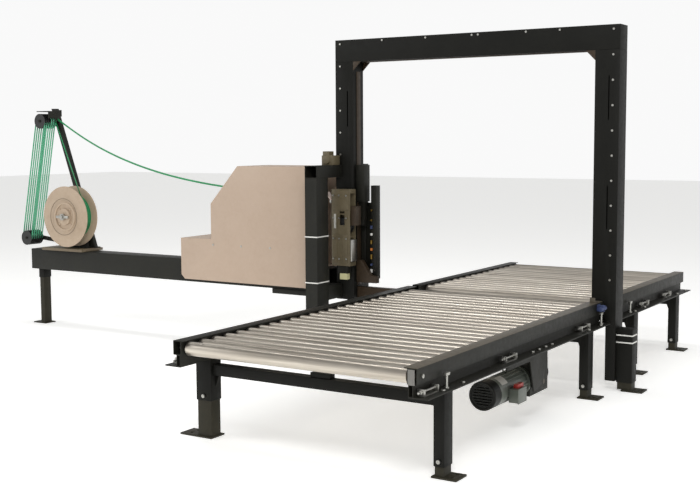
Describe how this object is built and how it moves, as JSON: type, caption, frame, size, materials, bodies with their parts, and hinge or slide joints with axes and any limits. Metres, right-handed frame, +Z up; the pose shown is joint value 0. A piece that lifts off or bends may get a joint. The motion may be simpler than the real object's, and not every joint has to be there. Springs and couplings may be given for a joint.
{
  "type": "semi automatic strapping machine",
  "caption": "Arch strapping machine over a powered roller conveyor, with a side sealing head, a strap cabinet and a reel dispenser on a beam.",
  "frame": {"origin": "middle of the footprint, at floor level", "axes": "+Z up, +Y along the conveyor from its infeed end to its outfeed end, +X across it, away from the dispenser"},
  "size_m": [4.845, 3.714, 2.015],
  "materials": {
    "black_paint": "satin",
    "zinc": "zinc plated",
    "roller_steel": "ground",
    "cream_paint": "satin",
    "reel_cream": "satin",
    "grey_paint": "satin",
    "strap_green": "embossed",
    "white_plastic": "matte",
    "blue_plastic": "gloss",
    "head_olive": "satin",
    "dark_plastic": "matte"
  },
  "bodies": {
    "machine": {"accumulator_strands": "strap_green", "adjustable_feet": "black_paint", "arch_corner_gussets": "black_paint", "arch_left_column": "black_paint", "arch_right_column": "black_paint", "arch_top_beam": "black_paint", "cabinet_deck": "cream_paint", "cabinet_shell": "cream_paint", "cable_post": "black_paint", "cross_members": "black_paint", "dancer_pivot": "black_paint", "dispenser_beam": "black_paint", "drive_chains": "zinc", "feed_gear_motor": "head_olive", "feed_wheel_shaft": "zinc", "frame_bolts": "zinc", "free_strap": "strap_green", "gear_reducer": "black_paint", "head_frame": "black_paint", "head_side_plate": "head_olive", "infeed_rail_left": "black_paint", "infeed_rail_right": "black_paint", "infeed_rollers": "roller_steel", "leg_sleeves": "black_paint", "motor_body": "grey_paint", "motor_fan_cowl": "grey_paint", "motor_mount_plate": "black_paint", "outfeed_rail_left": "black_paint", "outfeed_rail_right": "black_paint", "outfeed_rollers": "roller_steel", "panel_screws": "zinc", "photo_eye": "blue_plastic", "platen_cylinder": "zinc", "reel_base_plate": "reel_cream", "reel_shaft": "zinc", "reel_stand": "black_paint", "roller_axles": "zinc", "sealing_head_case": "head_olive", "strap_guard_bar": "black_paint", "strap_guides": "head_olive", "strap_inlet": "head_olive", "strap_track": "black_paint", "terminal_box": "grey_paint", "tie_bands": "white_plastic", "tower_arm": "black_paint"},
    "roller_1_body": {"infeed_roller_1": "roller_steel"},
    "roller_2_body": {"infeed_roller_2": "roller_steel"},
    "drive_roller_body": {"drive_roller": "roller_steel"},
    "drive_sprocket_body": {"drive_sprocket": "zinc"},
    "fan_body": {"motor_fan": "dark_plastic"},
    "reel_body": {"reel_back_flange": "reel_cream", "reel_front_flange": "reel_cream", "strap_coil": "strap_green", "reel_wing_nut": "zinc"},
    "top_sheave_body": {"top_sheaves": "dark_plastic"},
    "dancer_body": {"dancer_arm": "black_paint"},
    "lower_sheave_body": {"lower_sheaves": "dark_plastic"},
    "platen_body": {"press_platen": "zinc"},
    "feed_wheel_body": {"feed_wheel": "black_paint"},
    "head_cover_body": {"head_cover": "head_olive"}
  },
  "joints": [
    {"name": "drive_sprocket_spin", "type": "hinge", "parent": "machine", "child": "drive_sprocket_body", "pos_m": [2.1475, -0.47435, 0.19], "axis": [1, 0, 0], "continuous": true},
    {"name": "roller_1_spin", "type": "hinge", "parent": "machine", "child": "roller_1_body", "pos_m": [1.5725, -1.80785, 0.46025], "axis": [1, 0, 0], "continuous": true},
    {"name": "roller_2_spin", "type": "hinge", "parent": "machine", "child": "roller_2_body", "pos_m": [1.5725, -1.71895, 0.46025], "axis": [1, 0, 0], "continuous": true},
    {"name": "drive_roller_spin", "type": "hinge", "parent": "machine", "child": "drive_roller_body", "pos_m": [1.5725, -0.47435, 0.46025], "axis": [1, 0, 0], "continuous": true},
    {"name": "motor_fan_spin", "type": "hinge", "parent": "machine", "child": "fan_body", "pos_m": [2.078, -0.89435, 0.205], "axis": [0, 1, 0], "continuous": true},
    {"name": "reel_spin", "type": "hinge", "parent": "machine", "child": "reel_body", "pos_m": [-1.9175, 0.239, 0.837], "axis": [0, 1, 0], "continuous": true},
    {"name": "top_sheave_spin", "type": "hinge", "parent": "machine", "child": "top_sheave_body", "pos_m": [-2.1855, 0.357, 1.545], "axis": [0, 1, 0], "continuous": true},
    {"name": "dancer_swing", "type": "hinge", "parent": "machine", "child": "dancer_body", "pos_m": [-2.0675, 0.39, 0.628], "axis": [0, 1, 0], "range_deg": [0, 40], "deforming": ["accumulator_strands"]},
    {"name": "lower_sheave_spin", "type": "hinge", "parent": "dancer_body", "child": "lower_sheave_body", "pos_m": [-2.3675, 0.357, 0.66], "axis": [0, 1, 0], "continuous": true},
    {"name": "platen_press", "type": "slide", "parent": "machine", "child": "platen_body", "axis": [1, 0, 0], "range_m": [0, 0.04]},
    {"name": "feed_wheel_spin", "type": "hinge", "parent": "machine", "child": "feed_wheel_body", "pos_m": [0.5325, 0.256, 0.86], "axis": [0, 1, 0], "continuous": true},
    {"name": "head_cover_open", "type": "hinge", "parent": "machine", "child": "head_cover_body", "pos_m": [0.4445, 0.256, 1.012], "axis": [0, -1, 0], "range_deg": [-36, 50]}
  ],
  "couplings": [
    {"joint": "roller_1_spin", "follows": "drive_sprocket_spin", "ratio": 1},
    {"joint": "roller_2_spin", "follows": "drive_sprocket_spin", "ratio": 1},
    {"joint": "drive_roller_spin", "follows": "drive_sprocket_spin", "ratio": 1},
    {"joint": "motor_fan_spin", "follows": "drive_sprocket_spin", "ratio": 20}
  ]
}
